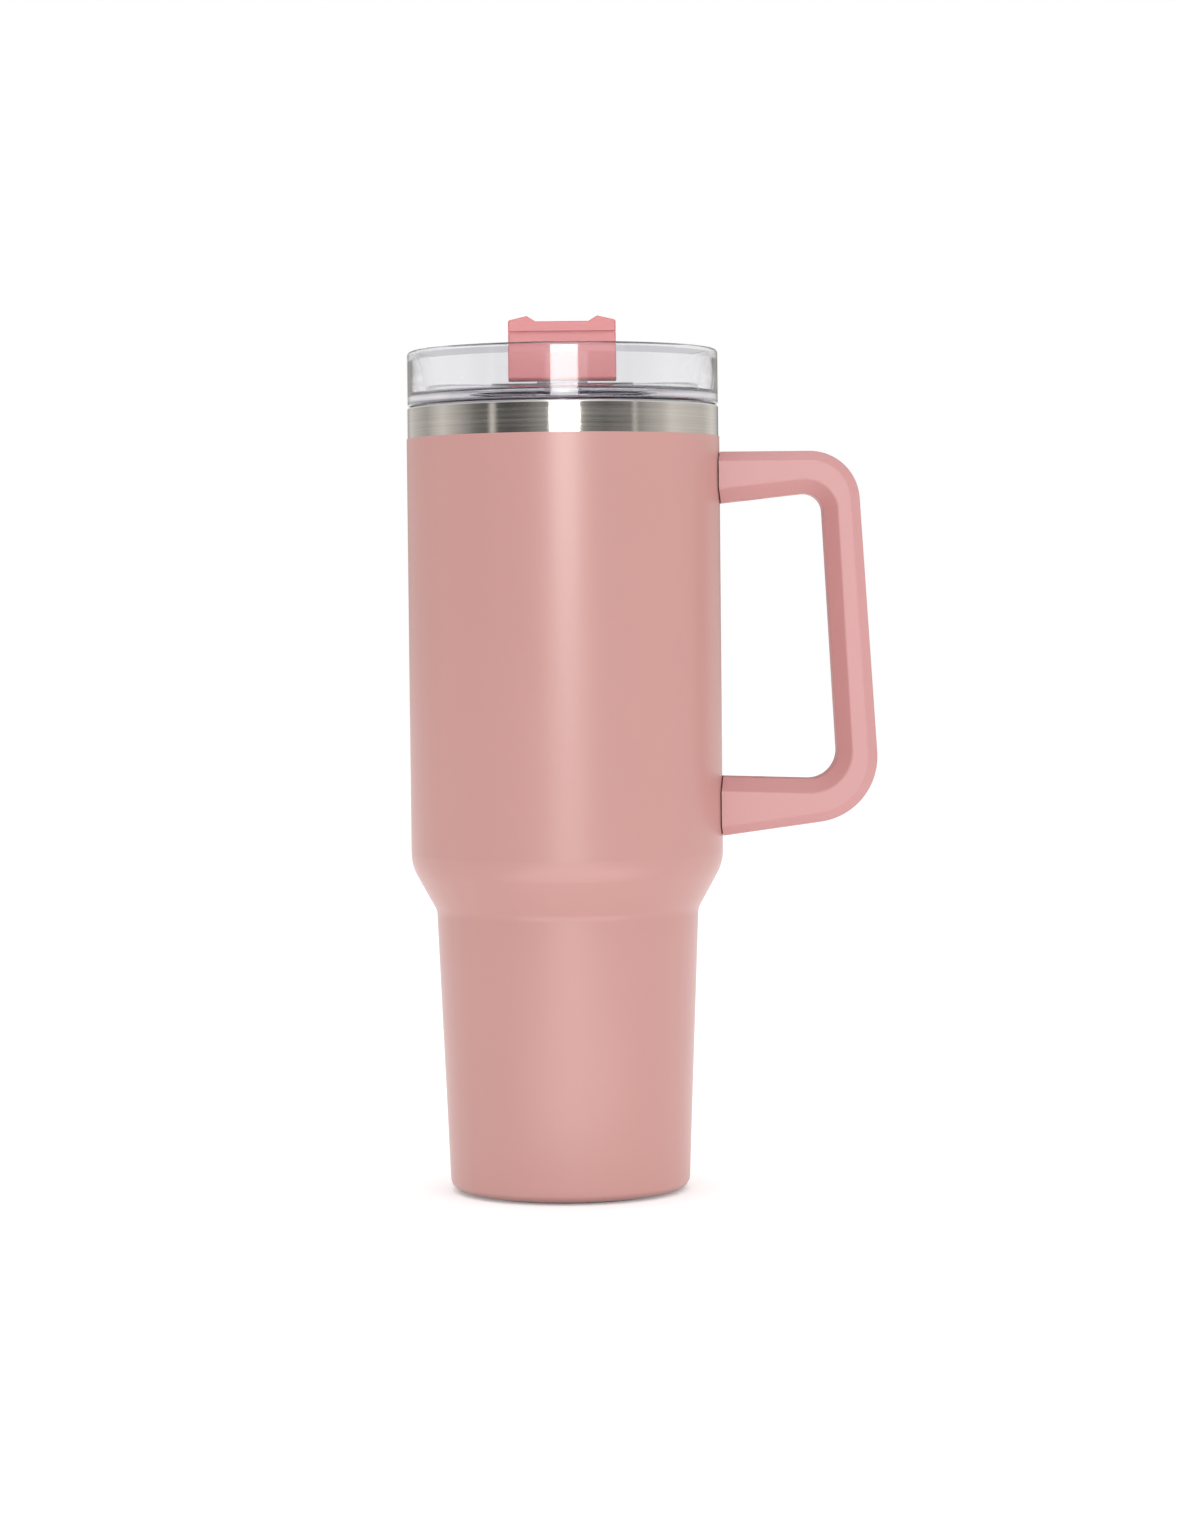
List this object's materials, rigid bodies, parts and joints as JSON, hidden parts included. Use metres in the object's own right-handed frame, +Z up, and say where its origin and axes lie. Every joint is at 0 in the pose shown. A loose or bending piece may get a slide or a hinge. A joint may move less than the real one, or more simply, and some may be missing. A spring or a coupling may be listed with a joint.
{
  "type": "insulated tumbler",
  "caption": "Double-wall steel tumbler with a stepped, tapered base, a side handle and a clear press-in lid with a flip lever that stops its sip hole.",
  "frame": {"origin": "on the cup's axis, in the plane of the base pad that it stands on", "axes": "+Z up along the cup's axis, +X towards the handle, -Y towards the drinker's side of the lever"},
  "size_m": [0.1494, 0.1, 0.28],
  "materials": {
    "brushed_steel": "brushed round the mouth",
    "inner_steel": "fine satin",
    "rose_coat": "fine satin powder coat",
    "rose_plastic": "satin moulded",
    "clear_plastic": "polished clear moulding",
    "silicone": "translucent white silicone",
    "dark_silicone": "matt anti-slip silicone",
    "copper": "bright foil",
    "plain_steel": "pressed",
    "getter_metal": "sintered",
    "seal_glass": "melted bead",
    "screw_steel": "plated"
  },
  "bodies": {
    "cup": {"outer_shell": "brushed_steel", "powder_coat": "rose_coat", "inner_liner": "inner_steel", "heat_shield_foil": "copper", "vacuum_base": "plain_steel", "vacuum_seal": "seal_glass", "base_cap": "brushed_steel", "base_pad": "dark_silicone", "getter_clip": "plain_steel", "getter_pill": "getter_metal", "handle": "rose_plastic", "upper_handle_bracket": "plain_steel", "lower_handle_bracket": "plain_steel", "handle_screws": "screw_steel", "handle_screw_plugs": "rose_plastic"},
    "lid": {"lid_body": "clear_plastic", "lid_gasket": "silicone", "lever_hinge_pin": "screw_steel"},
    "lever": {"flip_lever": "rose_plastic", "sip_stopper": "silicone"}
  },
  "joints": [
    {"name": "lid_lift", "type": "slide", "parent": "cup", "child": "lid", "axis": [0, 0, 1], "range_m": [0, 0.04]},
    {"name": "lever_flip", "type": "hinge", "parent": "lid", "child": "lever", "pos_m": [0, -0.0015, 0.26], "axis": [-1, 0, 0], "range_deg": [0, 90]}
  ]
}
